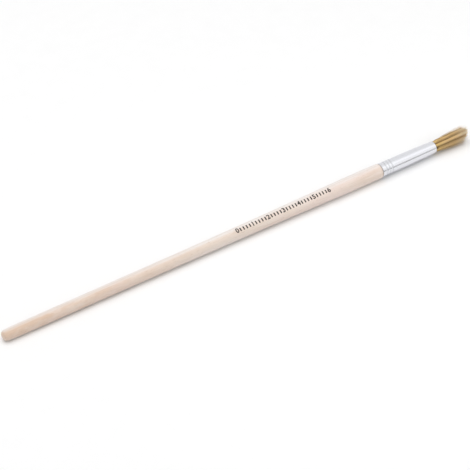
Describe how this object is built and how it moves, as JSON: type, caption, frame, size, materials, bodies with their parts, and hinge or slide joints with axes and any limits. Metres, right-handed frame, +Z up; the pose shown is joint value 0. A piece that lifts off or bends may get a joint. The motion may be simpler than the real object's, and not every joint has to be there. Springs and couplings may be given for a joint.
{
  "type": "round stencil brush",
  "caption": "Long round stencil brush: bare turned wooden handle, crimped tapering aluminium ferrule and a flared, blunt tuft of natural bristles set in resin.",
  "frame": {"origin": "middle of the lying brush's footprint, on the table", "axes": "+X along the brush from the tail to the bristles, +Z up from the table"},
  "size_m": [0.2999, 0.009, 0.0088],
  "materials": {
    "bare_wood": "raw sanded pale wood, no varnish",
    "drawn_aluminium": "bright drawn tube with pressed crimps",
    "amber_resin": "cast amber resin",
    "waxed_thread": "waxed binding thread",
    "hog_bristle": "natural ochre bristle with paler tips"
  },
  "bodies": {
    "root": {"handle": "bare_wood", "ferrule": "drawn_aluminium", "resin_plug": "amber_resin", "binding_thread": "waxed_thread", "bristle_tuft": "hog_bristle"}
  },
  "joints": []
}
